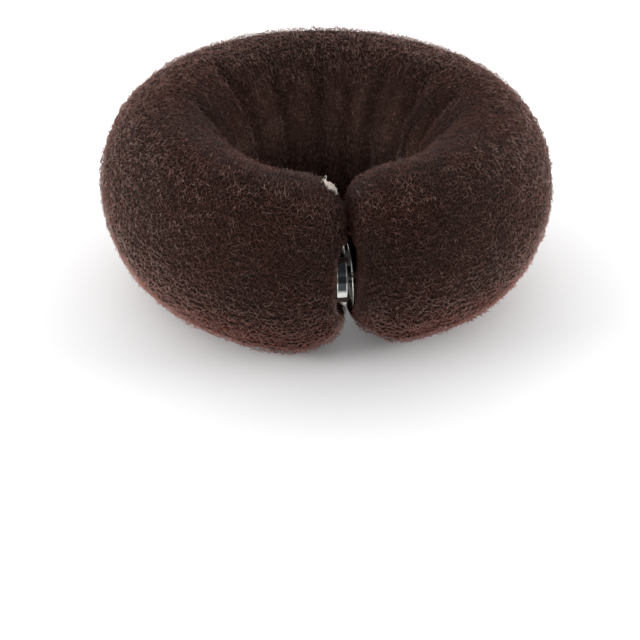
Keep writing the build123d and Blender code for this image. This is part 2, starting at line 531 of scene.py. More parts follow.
def make_mesh(
    name: str,
    points: Array,
    faces: list[Array],
    map_places: list[Array] | None = None,
    tone: Array | None = None,
    normals: Array | None = None,
) -> bpy.types.Object:
    """A smooth-shaded mesh object at the origin.

    Args:
        name: of the object.
        points: places in millimetres, one row each.
        faces: arrays of corner numbers, one array for each number of corners.
        map_places: for each of those arrays, the place of every corner on the bake's map.
        tone: a value for each point, kept as the attribute "tone".
        normals: the direction that each point is shaded by, if not the mesh's own.

    Returns:
        The object, linked into the scene.
    """
    mesh = bpy.data.meshes.new(name)
    corners = np.concatenate([part.ravel() for part in faces])
    sizes = np.concatenate([np.full(len(part), part.shape[1]) for part in faces])
    mesh.vertices.add(len(points))
    mesh.vertices.foreach_set("co", (points * MM).astype(np.float32).ravel())
    mesh.loops.add(len(corners))
    mesh.loops.foreach_set("vertex_index", corners.astype(np.int32))
    mesh.polygons.add(len(sizes))
    starts = np.concatenate([[0], np.cumsum(sizes)[:-1]])
    mesh.polygons.foreach_set("loop_start", starts.astype(np.int32))
    mesh.polygons.foreach_set("use_smooth", np.ones(len(sizes), bool))
    if map_places is not None:
        layer = mesh.uv_layers.new(name="OFBake", do_init=False)
        places = np.concatenate([part.reshape(-1, 2) for part in map_places])
        layer.uv.foreach_set("vector", places.astype(np.float32).ravel())
    if tone is not None:
        values = mesh.attributes.new("tone", "FLOAT", "POINT")
        values.data.foreach_set("value", tone.astype(np.float32).ravel())
    mesh.update(calc_edges=True)
    mesh.validate()
    if normals is not None:
        mesh.normals_split_custom_set_from_vertices(normals)
    made = bpy.data.objects.new(name, mesh)
    bpy.context.scene.collection.objects.link(made)
    return made


def ring_walls(numbers: Array) -> Array:
    """Faces between neighbouring rings, as four corner numbers each.

    Args:
        numbers: of the rings' points, shaped (..., rings, points round).

    Returns:
        One row for each face, from ring to ring and round each of them.
    """
    after = np.roll(numbers, -1, axis=-1)
    corners = [numbers[..., :-1, :], after[..., :-1, :], after[..., 1:, :], numbers[..., 1:, :]]
    return np.stack(corners, -1).reshape(-1, 4)


def map_corners(*corners: tuple[Any, Any]) -> Array:
    """Places of faces' corners on the bake's map.

    Args:
        corners: for each corner in turn, its places along and across the map, for all faces.

    Returns:
        The places, shaped (faces, corners, 2).
    """
    places = [np.stack(np.broadcast_arrays(*corner), -1) for corner in corners]
    return np.stack(places, -2).reshape(-1, len(corners), 2)


def map_walls(along: Array, low: Array, high: Array) -> Array:
    """Places of the corners of ring_walls' faces on the bake's map.

    Args:
        along: place of each ring along the map, shaped (rings, 1).
        low: where each face begins across the map.
        high: where it ends.

    Returns:
        The places, shaped (faces, 4, 2).
    """
    start, end = along[:-1], along[1:]
    return map_corners((start, low), (start, high), (end, high), (end, low))


def make_strands(
    name: str,
    paths: Array,
    sides_up: Array,
    radius: float,
    sides: int,
    tone: Array,
    shared_shade: float = 0.0,
) -> bpy.types.Object:
    """Closed round strands along paths, as one mesh.

    At each point of a path, the ring's corners stand at radius times
    cos(a) up + sin(a) across, where across is the path's direction times the side that is up.

    Args:
        name: of the object.
        paths: places along each strand, shaped (strands, points, 3).
        sides_up: for each place, a direction off the path that its ring is turned to.
        radius: of the strands.
        sides: of the strands' section.
        tone: a value for each place, kept as the attribute "tone".
        shared_shade: how far a point is shaded by its up direction, as its neighbours are,
            from 0, by its own strand alone, to 1.

    Returns:
        The object.
    """
    count, length = paths.shape[:2]
    ahead = unit(np.gradient(paths, axis=1))
    across = unit(np.cross(ahead, sides_up))
    upward = np.cross(across, ahead)
    angles = 2 * np.pi * np.arange(sides) / sides
    circle = np.stack([np.cos(angles), np.sin(angles)], -1)
    ring = circle[:, :1] * upward[:, :, None] + circle[:, 1:] * across[:, :, None]
    points = paths[:, :, None] + radius * ring
    numbers = np.arange(count * length * sides).reshape(count, length, sides)
    caps = np.concatenate([numbers[:, 0, ::-1], numbers[:, -1]])
    along = np.arange(length)[:, None] / (length - 1)
    lane = np.arange(count * sides).reshape(count, 1, sides)
    low, high = ((lane + edge) / (count * sides) for edge in (LANE_MARGIN, 1 - LANE_MARGIN))
    middle = (np.arange(count)[:, None] + 0.5) / count
    spot = CAP_SPOT / (count * sides) * circle
    cap_places = [
        np.stack(np.broadcast_arrays(edge, middle), -1) + spot
        for edge in (CAP_INSET, 1 - CAP_INSET)
    ]
    shaded = unit(ring * (1 - shared_shade) + unit(sides_up)[:, :, None] * shared_shade)
    return make_mesh(
        name,
        points.reshape(-1, 3),
        [ring_walls(numbers), caps],
        [map_walls(along, low, high), np.clip(np.concatenate(cap_places), 0, 1)],
        np.repeat(tone.ravel(), sides),
        shaded.reshape(-1, 3) if shared_shade else None,
    )


def make_closed_tube(name: str, rings: Array, poles: Array, tone: Array) -> bpy.types.Object:
    """Rings joined into a tube, and closed by triangles to a pole at either end.

    Args:
        name: of the object.
        rings: places round each ring, shaped (rings, points round, 3).
        poles: the places of the first and the last pole.
        tone: a value for each point of the rings, and then for each pole.

    Returns:
        The object.
    """
    count, around = rings.shape[:2]
    numbers = np.arange(count * around).reshape(count, around)
    after = np.roll(numbers, -1, axis=1)
    along = (np.arange(count) + 1) / (count + 1)
    across = np.arange(around + 1) / around
    middle = (across[:-1] + across[1:]) / 2
    fans, fan_places = [], []
    for end, order in ((0, -1), (1, 1)):
        pole = np.full(around, count * around + end)
        fans.append(np.stack([pole, *(numbers[-end], after[-end])[::order]], -1))
        first, second = (across[:-1], across[1:])[::order]
        corners = ((end, middle), (along[-end], first), (along[-end], second))
        fan_places.append(map_corners(*corners))
    return make_mesh(
        name,
        np.concatenate([rings.reshape(-1, 3), poles]),
        [ring_walls(numbers), np.concatenate(fans)],
        [map_walls(along[:, None], across[:-1], across[1:]), np.concatenate(fan_places)],
        tone,
    )


def eased_path(marks: Array, count: int) -> Array:
    """A smooth path through a few marks.

    Each stretch between two marks is a cubic whose slope at a mark is half the step from the
    mark before it to the mark after it.

    Args:
        marks: places, one row each.
        count: points of the path, evenly spread over the marks' numbers.

    Returns:
        The path's points.
    """
    slopes = np.gradient(marks, axis=0)
    share = np.linspace(0, len(marks) - 1, count)
    start = np.minimum(share.astype(int), len(marks) - 2)
    t = (share - start)[:, None]
    return (
        marks[start] * (2 * t**3 - 3 * t**2 + 1)
        + slopes[start] * (t**3 - 2 * t**2 + t)
        + marks[start + 1] * (3 * t**2 - 2 * t**3)
        + slopes[start + 1] * (t**3 - t**2)
    )


def join_net(piece: bpy.types.Object, material: bpy.types.Material) -> bpy.types.Object:
    """Gives a piece its material, and attaches it to the root body.

    Args:
        piece: the new piece.
        material: what it is made of.

    Returns:
        The piece.
    """
    piece.data.materials.append(material)
    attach(piece, "root")
    return piece


# ---------------------------------------------------------------- the roll of net


class Section(NamedTuple):
    """The roll's section at a turn: sizes and shifts as shares of its width and height."""

    turn: float
    width: float
    height: float
    inward: float
    lift: float


class Fold(NamedTuple):
    """A fold that the bend gathers on the wall of the hole."""

    turn: float
    depth: float
    spread: float
    slant: float
    reach: float


class Girth(NamedTuple):
    """Angles round the plain section, and the length of its outline up to each."""

    angles: Array
    lengths: Array

    def angle_at(self, length: Array) -> Array:
        """The angle at a length, carried on past either end of the outline by whole laps."""
        laps, rest = np.divmod(length, self.lengths[-1])
        return np.interp(rest, self.lengths, self.angles) + 360 * laps


class End(Enum):
    """The roll's ends, by the side of the snap that they lie on."""

    LEFT = -1
    RIGHT = 1


@dataclass
class RollSurface:
    """The outside of the roll, by distance along it and angle round its section.

    Angle 0 is the outside of the ring, 90 its crown, 180 the wall of the hole and 270 its
    underside. Turn 0 is the left end, and turn 1 the right end.
    """

    ring_radius: float = 33.4
    roll_width: float = 29.7
    roll_height: float = 40.6
    outward_lean: float = 1.2
    foot_depth: float = 0.6
    end_gap: float = 0.8
    end_face_share: float = 0.50
    end_length: float = 9.5
    shoulder_share: float = 0.90
    left_lip_shift: float = 0.6
    right_lip_shift: float = 1.1
    lip_reach: float = 15.0
    snap_out: float = 35.5
    snap_height: float = 19.0
    dimple_radius: float = 8.0
    dimple_top: float = 9.3
    dimple_foot: float = 6.9
    socket_dimple: float = 3.05
    stud_dimple: float = 1.626
    dimple_slope: float = 1.4
    dimple_opening: float = 2.0
    dimple_foot_opening: float = 1.2
    opening_rise: float = 8.0
    dimple_flare: float = 0.25
    fold_foot: float = 75.0
    girth_start: float = -50.0
    girth_points: int = 1441
    sections: tuple[Section, ...] = (
        Section(0.00, 1.00, 0.965, 0.00, 0.016),
        Section(0.06, 1.01, 1.000, 0.00, 0.000),
        Section(0.17, 1.05, 1.010, 0.03, 0.000),
        Section(0.28, 1.00, 1.000, 0.00, 0.000),
        Section(0.76, 1.00, 1.000, 0.00, 0.000),
        Section(0.86, 1.04, 1.010, 0.02, 0.002),
        Section(0.94, 1.01, 0.985, 0.01, 0.024),
        Section(1.00, 1.00, 0.930, 0.00, 0.060),
    )
    folds: tuple[Fold, ...] = (
        Fold(0.055, 0.050, 0.010, 0.000, 0.60),
        Fold(0.112, 0.070, 0.011, 0.004, 0.65),
        Fold(0.165, 0.060, 0.010, 0.000, 0.55),
        Fold(0.222, 0.080, 0.010, -0.004, 0.70),
        Fold(0.280, 0.115, 0.012, 0.010, 0.85),
        Fold(0.332, 0.080, 0.010, -0.006, 0.65),
        Fold(0.384, 0.135, 0.012, -0.012, 0.98),
        Fold(0.447, 0.115, 0.010, -0.014, 0.75),
        Fold(0.510, 0.135, 0.012, -0.003, 0.70),
        Fold(0.556, 0.070, 0.009, 0.000, 0.60),
        Fold(0.598, 0.120, 0.011, 0.004, 0.75),
        Fold(0.656, 0.130, 0.012, 0.006, 0.90),
        Fold(0.716, 0.120, 0.012, 0.010, 0.90),
        Fold(0.778, 0.090, 0.011, 0.012, 0.80),
        Fold(0.830, 0.060, 0.010, 0.004, 0.55),
        Fold(0.885, 0.075, 0.011, 0.000, 0.65),
        Fold(0.945, 0.050, 0.010, 0.000, 0.60),
    )
    points_round: int = 144
    roll_stations: int = 420
    rounding_stations: int = 14
    end_stations: int = 26
    outward_rounds: int = 12
    shoulder_rounds: int = 12
    shoulder_reach: float = 9.0
    places: Array = field(init=False)
    outward: Array = field(init=False)
    lengths: Array = field(init=False)

    def __post_init__(self) -> None:
        """Works out the surface on its grid, and its outward directions.

        Points near the shoulders are evened out with their neighbours along the roll.
        The outward direction at a point is the cross product of the step round the section
        and the step along the roll, evened out with its neighbours along the roll. Lengths
        are added up along the crown.
        """
        self.places = self._grid()
        index = np.arange(len(self.places))
        from_end = np.minimum(index, index[::-1])
        share = smooth_step(1 - np.abs(from_end - self.end_stations) / self.shoulder_reach)
        for _ in range(self.shoulder_rounds):
            evened = (self.places[:-2] + self.places[2:]) / 2
            self.places[1:-1] += (evened - self.places[1:-1]) / 2 * share[1:-1, None, None]
        round_step = np.roll(self.places, -1, axis=1) - np.roll(self.places, 1, axis=1)
        outward = unit(np.cross(round_step, np.gradient(self.places, axis=0)))
        for _ in range(self.outward_rounds):
            outward[1:-1] = (outward[:-2] + 2 * outward[1:-1] + outward[2:]) / 4
        self.outward = unit(outward)
        crown = self.places[:, self.points_round // 4]
        steps = np.linalg.norm(np.diff(crown, axis=0), axis=1)
        self.lengths = np.concatenate([[0.0], np.cumsum(steps)])

    @property
    def middle_height(self) -> float:
        """Height of the middle of the section."""
        return self.roll_height / 2 - self.foot_depth

    @property
    def angles(self) -> Array:
        """Angles of the points round a ring."""
        return 360 * np.arange(self.points_round) / self.points_round

    def section_at(self, turn: Array) -> Section:
        """The section at each turn, eased from each row of the table to the next.

        Args:
            turn: where along the roll, from 0 to 1.

        Returns:
            A section whose columns are arrays, one value for each turn.
        """
        rows = np.array(self.sections)
        row = np.clip(np.searchsorted(rows[:, 0], turn, side="right") - 1, 0, len(rows) - 2)
        ease = smooth_step((turn - rows[row, 0]) / (rows[row + 1, 0] - rows[row, 0]))
        return Section(*(column[row] * (1 - ease) + column[row + 1] * ease for column in rows.T))

    def fold_draw(self, turn: Array, angle: Array) -> Array:
        """How far the folds draw the surface in, as a share of the section's size.

        A fold is depth (1 - run^4)^2 exp(-off^2): run goes from 0 at the wall of the hole to
        1 where the fold has run out, and off is the distance from its line over its spread.

        Args:
            turn: where along the roll.
            angle: degrees round the section.

        Returns:
            The share at each point.
        """
        rise = (180 - angle) / 90
        draw = np.zeros(np.broadcast(turn, angle).shape)
        for fold in self.folds:
            run = np.where(rise > 0, rise / fold.reach, -rise * 90 / self.fold_foot)
            off = (turn - fold.turn - fold.slant * rise) / fold.spread
            draw += fold.depth * (1 - np.minimum(run, 1) ** 4) ** 2 * np.exp(-off * off)
        return draw

    def section_point(self, turn: Array, angle: Array, size: Array) -> tuple[Array, Array]:
        """Points on the roll's section: an oval that leans outwards, drawn in by the folds.

        Args:
            turn: where along the roll.
            angle: degrees round the section.
            size: of the section, as a share of its whole size.

        Returns:
            Distance from the axis of the hole, and height.
        """
        section = self.section_at(turn)
        reach = size * (1 - self.fold_draw(turn, angle))
        cosine, sine = np.cos(np.radians(angle)), np.sin(np.radians(angle))
        half_width = self.roll_width / 2 * section.width
        half_height = self.roll_height / 2 * section.height
        middle = self.ring_radius - self.roll_width * section.inward
        out = middle + half_width * reach * cosine + self.outward_lean * sine * size
        rise = self.middle_height + self.roll_height * section.lift
        return out, np.maximum(rise + half_height * reach * sine, 0)

    def lip_shift(self, right: Array | bool, from_end: Array, height: Array) -> Array:
        """How far the lip of either end leans to the right.

        The shift is full at the floor and at the end, and eased to nothing at the height of
        the snap and at the reach of the lip.

        Args:
            right: whether a point lies near the right end, or else the left.
            from_end: millimetres from the gap along the roll.
            height: over the floor.

        Returns:
            The shift of each point.
        """
        shift = np.where(right, self.right_lip_shift, self.left_lip_shift)
        low = smooth_step(1 - height / self.snap_height)
        return shift * low * smooth_step(1 - from_end / self.lip_reach)

    def ring_places(self, turn: Array, size: Array) -> Array:
        """Rings of the roll, each in the plane through the hole's axis at its turn.

        Args:
            turn: of each ring.
            size: of each ring, as a share of the section's whole size.

        Returns:
            Their points, shaped (rings, points round, 3).
        """
        angle, turn = self.angles[None], turn[:, None]
        out, height = self.section_point(turn, angle, size[:, None])
        from_end = np.minimum(turn, 1 - turn) * 2 * np.pi * self.ring_radius
        shift = self.lip_shift(turn > 0.5, from_end, height)
        way = 2 * np.pi * turn
        return np.stack([shift - out * np.sin(way), -out * np.cos(way), height], -1)

    def rounding(self, size: Array | float) -> Array:
        """How far along the roll its rounded end reaches a share of its size."""
        rise = np.clip((size - self.end_face_share) / (1 - self.end_face_share), 0, 1)
        return self.end_length * (1 - np.sqrt(1 - rise * rise))

    def dimple_tall(self, rise: Array) -> Array:
        """How far the flat floor of a dimple reaches above or below the snap's middle."""
        return np.where(rise > 0, self.dimple_top, self.dimple_foot)

    def dimple_floor(self, end: End, out: Array, height: Array) -> Array:
        """How far a dimple sets points on the roll's end back from the middle of the gap.

        Its floor is flat over an oval round the snap, wider outwards the higher up, flares
        away past the snap, and ends in a smooth edge as wide as the slope.

        Args:
            end: the roll's end.
            out: distance of the points from the axis of the hole.
            height: of the points over the floor.

        Returns:
            The depth at each point, 0 away from the dimple.
        """
        deep = self.stud_dimple if end is End.RIGHT else self.socket_dimple
        outward = np.maximum(out - self.snap_out, 0)
        inward = np.maximum(self.snap_out - out, 0)
        rise = height - self.snap_height
        share = smooth_step(rise / self.opening_rise + 0.5)
        wider = (self.dimple_opening - self.dimple_foot_opening) * share
        across = outward / (self.dimple_foot_opening + wider) + inward
        from_middle = np.hypot(across / self.dimple_radius, rise / self.dimple_tall(rise))
        beyond = (from_middle - 1) * self.dimple_radius
        floor = deep + self.dimple_flare * np.maximum(outward - self.dimple_radius, 0)
        return floor * smooth_step(1 - beyond / self.dimple_slope)

    def end_places(self, end: End, blend: Array) -> Array:
        """Rings on one end of the roll, from the dimple's rim (0) to the shoulder (1).

        The end bulges as far as the rounding says, and is pressed in to the dimple's floor
        near the snap.

        Args:
            end: the roll's end.
            blend: of each ring, from the rim to the shoulder.

        Returns:
            Their points, shaped (rings, points round, 3).
        """
        right = end is End.RIGHT
        turn = np.array([[float(right)]])
        angle, blend = self.angles[None], blend[:, None]
        shoulder = self.section_point(turn, angle, np.array([[self.shoulder_share]]))
        rise = np.sin(np.radians(angle))
        rim = (
            self.snap_out + self.dimple_radius * np.cos(np.radians(angle)),
            self.snap_height + self.dimple_tall(rise) * rise,
        )
        out, height = (near + (far - near) * blend for near, far in zip(rim, shoulder))
        middle = self.middle_height + self.roll_height * self.section_at(turn).lift
        size = np.hypot(
            (out - self.ring_radius) / (self.roll_width / 2),
            (height - middle) / (self.roll_height / 2),
        )
        rounded = out * np.sin((self.end_gap / 2 + self.rounding(size)) / self.ring_radius)
        depth = np.maximum(rounded, self.dimple_floor(end, out, height))
        from_end = self.end_gap / 2 + self.rounding(self.shoulder_share) * blend
        shift = self.lip_shift(right, from_end, height) * blend
        return np.stack([end.value * depth + shift, -np.sqrt(out**2 - depth**2), height], -1)

    def _grid(self) -> Array:
        """Lays out the rings, closer together at the ends than round the ring.

        Returns:
            All of them, from the rim of the left dimple round the back to the right one.
        """
        blend = np.linspace(0, 1, self.end_stations)
        rise = (self.shoulder_share - self.end_face_share) / (1 - self.end_face_share)
        bend = np.linspace(np.arcsin(rise), np.pi / 2, self.rounding_stations)[1:-1]
        size = self.end_face_share + (1 - self.end_face_share) * np.sin(bend)
        whole = 2 * np.pi * self.ring_radius
        near = (self.end_gap / 2 + self.rounding(size)) / whole
        first = (self.end_gap / 2 + self.end_length) / whole
        turns = np.linspace(first, 1 - first, self.roll_stations)
        return np.concatenate(
            [
                self.end_places(End.LEFT, blend),
                self.ring_places(near, size),
                self.ring_places(turns, np.ones_like(turns)),
                self.ring_places(1 - near[::-1], size[::-1]),
                self.end_places(End.RIGHT, blend[::-1]),
            ]
        )

    def from_ends(self, length: Array) -> Array:
        """How far a length along the roll is from the nearer end."""
        return np.minimum(length, self.lengths[-1] - length)

    def girth(self) -> Girth:
        """Adds up the plain section's outline in small steps.

        Returns:
            Its girth, from low on the outside round to the same place.
        """
        angles = self.girth_start + np.linspace(0, 360, self.girth_points)
        across = self.roll_width / 2 * np.cos(np.radians(angles))
        up = self.roll_height / 2 * np.sin(np.radians(angles))
        steps = np.hypot(np.diff(across), np.diff(up))
        return Girth(angles, np.concatenate([[0.0], np.cumsum(steps)]))

    def sample(self, length: Array, angle: Array, height: Array) -> tuple[Array, Array]:
        """Places over the surface, and the directions away from it.

        Both come from the four nearest points of the grid, each weighted by how near it is.

        Args:
            length: millimetres along the crown from the left dimple's rim.
            angle: degrees round the section.
            height: millimetres off the surface.

        Returns:
            The places and the outward directions.
        """
        station = np.interp(length, self.lengths, np.arange(len(self.lengths)))
        row = np.minimum(station.astype(int), len(self.lengths) - 2)
        step = np.mod(angle, 360) / 360 * self.points_round
        column = step.astype(int) % self.points_round
        after = (column + 1) % self.points_round
        along, around = (station - row)[..., None], (step - np.floor(step))[..., None]

        def weighed(grid: Array) -> Array:
            """One of the grids between its points."""
            low = grid[row, column] * (1 - around) + grid[row, after] * around
            high = grid[row + 1, column] * (1 - around) + grid[row + 1, after] * around
            return low * (1 - along) + high * along

        outward = unit(weighed(self.outward))
        return weighed(self.places) + outward * height[..., None], outward


class Zone(Enum):
    """Parts of the net round the roll's section, by their first and last angle."""

    OUTSIDE_LOW = (-50, -8)
    OUTSIDE_MIDDLE = (-8, 26)
    OUTSIDE_HIGH = (26, 60)
    CROWN = (60, 104)
    HOLE_HIGH = (104, 150)
    HOLE_LOW = (150, 215)
    UNDERSIDE = (215, 310)

    def holds(self, angle: Array) -> Array:
        """Whether each angle lies in the zone."""
        return (angle >= self.value[0]) & (angle < self.value[1])


class Rows(NamedTuple):
    """Rows of stitches, as columns: length round the section, space beside a row, angle."""

    length: Array
    space: Array
    angle: Array


@dataclass(frozen=True)
class Crinkle:
    """How the net's threads stray from even rows.

    Jitter changes from point to point and drift more slowly, in millimetres, or in radians
    where it moves a phase. The lean is a share of the stitches' pitch, and the swing of the
    space between rows.
    """

    phase_drift: Stray = Stray(0.8, 40, 4)
    phase_jitter: Stray = Stray(0.9, 4)
    swing: float = 0.6
    swing_jitter: Stray = Stray(0.35, 3)
    calm_in_hole: Bell = Bell(160.0, 28.0, 0.35)
    side_jitter: Stray = Stray(0.17, 2)
    side_drift: Stray = Stray(0.35, 50, 9)
    lean: float = 0.2
    lean_jitter: Stray = Stray(0.10, 2)
    loop_length: float = 0.95
    loop_drift: Stray = Stray(1.3, 9)
    loop_least: float = 0.12
    loop_crown: Bell = Bell(76.0, 24.0, 0.88)
    loose: float = 0.3
    loose_crown: float = 0.4
    loose_drift: Stray = Stray(1.0, 8)
    even_crown: float = 0.3
    most_loose: float = 1.4
    loop_side: float = 0.30
    loop_rise: float = 0.20
    swing_rise: float = 0.16
    crimp: float = -0.25
    crimp_wave: float = 0.11
    crimp_jitter: Stray = Stray(0.18, 2)
    crimp_drift: Stray = Stray(0.06, 12, 2)
    row_beat: float = 0.11
    beat_zone: Ease = Ease(35.0, 5.0)
    lowest: float = -0.5
    highest: float = 0.95

    def swings(
        self, draw: Callable[[Stray], Array], along: Array, pitch: float, rows: Rows
    ) -> tuple[Array, Array, Array]:
        """Stitches that swing from side to side, as the sine of a phase.

        They swing by about half the space between rows, half a swing out of step with the
        rows beside them, so that rows meet and leave holes between them. They lean back and
        forth along the row by the sine of twice the phase, which opens them into loops, and
        are calmer on the wall of the hole.

        Args:
            draw: gives the next noise of a kind.
            along: length along the roll.
            pitch: length of a stitch.
            rows: the rows of stitches.

        Returns:
            The phase, and how far a thread strays across its row and along it.
        """
        phase = 2 * np.pi * along / pitch + np.pi * np.arange(len(rows.angle))[:, None]
        phase = phase + draw(self.phase_drift) + draw(self.phase_jitter)
        calm = 1 - self.calm_in_hole.at(rows.angle)
        swing = self.swing * rows.space * calm * (1 + draw(self.swing_jitter))
        across = swing * np.sin(phase) + draw(self.side_jitter) + draw(self.side_drift)
        return phase, across, self.lean * pitch * np.sin(2 * phase) + draw(self.lean_jitter)

    def loops(
        self,
        draw: Callable[[Stray], Array],
        along: Array,
        begin: Array,
        phase: Array,
        rows: Rows,
    ) -> tuple[Array, Array]:
        """Longer loops that stand off the roll where the thread is loose.

        They are largest on the crown, where the thread is looser and more evenly so. The
        swings stand off with them.

        Args:
            draw: gives the next noise of a kind.
            along: length along the roll.
            begin: where in a loop each row begins, from 0 to 1.
            phase: of the swings.
            rows: the rows of stitches.

        Returns:
            How far the loops reach across the row, and how high they stand.
        """
        loop = 2 * np.pi * along / self.loop_length + 2 * np.pi * begin
        loop = loop + draw(self.loop_drift)
        crown = self.loop_least + self.loop_crown.at(rows.angle)
        loose = self.loose + self.loose_crown * crown
        loose = loose + (1 - self.even_crown * crown) * draw(self.loose_drift)
        loose = np.clip(loose, 0, self.most_loose)
        rise = self.loop_rise * crown * (1 + np.cos(loop))
        rise = loose * (rise + self.swing_rise * (1 + np.cos(phase)))
        return self.loop_side * crown * loose * np.sin(loop), rise

    def crimps(self, draw: Callable[[Stray], Array], phase: Array, rows: Rows) -> Array:
        """The thread's own rise and fall, twice a swing. Outside, every second row is higher.

        Args:
            draw: gives the next noise of a kind.
            phase: of the swings.
            rows: the rows of stitches.

        Returns:
            The height.
        """
        crimp = self.crimp + self.crimp_wave * np.cos(2 * phase)
        crimp = crimp + draw(self.crimp_jitter) + draw(self.crimp_drift)
        beat = np.cos(np.pi * np.arange(len(rows.angle)))[:, None]
        return crimp + self.row_beat * beat * self.beat_zone.at(rows.angle)


@dataclass(frozen=True)
class NetTone:
    """What makes the net's threads darker or paler, as parts of a tone from 0 to 1: random jitter,
    and painted light and shade.
    """

    plain: float = 0.57
    # raised threads and loops are painted paler and sunk ones darker: painted light and shade by
    # depth
    crimp: float = 0.9
    loops: float = 0.35
    jitter: Stray = Stray(0.2, 2)
    # painted shade at the front rim, on the hole's wall and by the right end; painted light at the
    # back rim and on the sides
    front_shade: Bell = Bell(108.0, 34.0, 0.5)
    front: Ease = Ease(30.0, -10.0)
    back_lighter: float = 1.6
    side_shade: Bell = Bell(146.0, 24.0, 0.5)
    off_the_back: Ease = Ease(-0.8, -0.2)
    end_shade: float = 0.42
    end: Ease = Ease(16.0, 0.0)
    side_light: float = 0.24
    sideways: Ease = Ease(0.4, 0.9)
    # painted light and shade by angle round the section: paler low outside, on the crown and low in
    # the hole
    painted_light_and_shade: tuple[Stop, ...] = (
        Stop(-50.0, 0.62), Stop(-15.0, 0.24), Stop(12.0, -0.13), Stop(46.0, -0.10),
        Stop(62.0, 0.12), Stop(90.0, 0.07), Stop(130.0, 0.0), Stop(150.0, 0.12),
        Stop(172.0, 0.70), Stop(300.0, 0.40),
    )
    strength: float = 0.8

    def placed(
        self, tone: Array, angle: Array, places: Array, outward: Array, to_end: Array
    ) -> Array:
        """The tone of threads where they lie.

        Round the hole's rim they get painted shade at the front and painted light at the back.
        They get painted shade on the hole's wall, except where it faces the front, and beside the
        right end. They get painted light where the net faces left or right, and painted light and
        shade by angle round the section.

        Args:
            tone: of the threads by themselves.
            angle: degrees round the section.
            places: in millimetres.
            outward: directions away from the roll.
            to_end: millimetres from the right end.

        Returns:
            The tone, held between 0 and 1.
        """
        # Painted shade and painted light, by where each thread lies.
        forward = 1 - self.back_lighter * (1 - self.front.at(places[..., 1]))
        tone = tone - forward * self.front_shade.at(angle)
        tone = tone - self.off_the_back.at(outward[..., 1]) * self.side_shade.at(angle)
        tone = tone - self.end_shade * self.end.at(to_end)
        sideways = outward[..., 0] * np.sign(places[..., 0])
        tone = tone + self.side_light * self.sideways.at(sideways)
        return np.clip(self.strength * (tone + between(self.painted_light_and_shade, angle)), 0, 1)


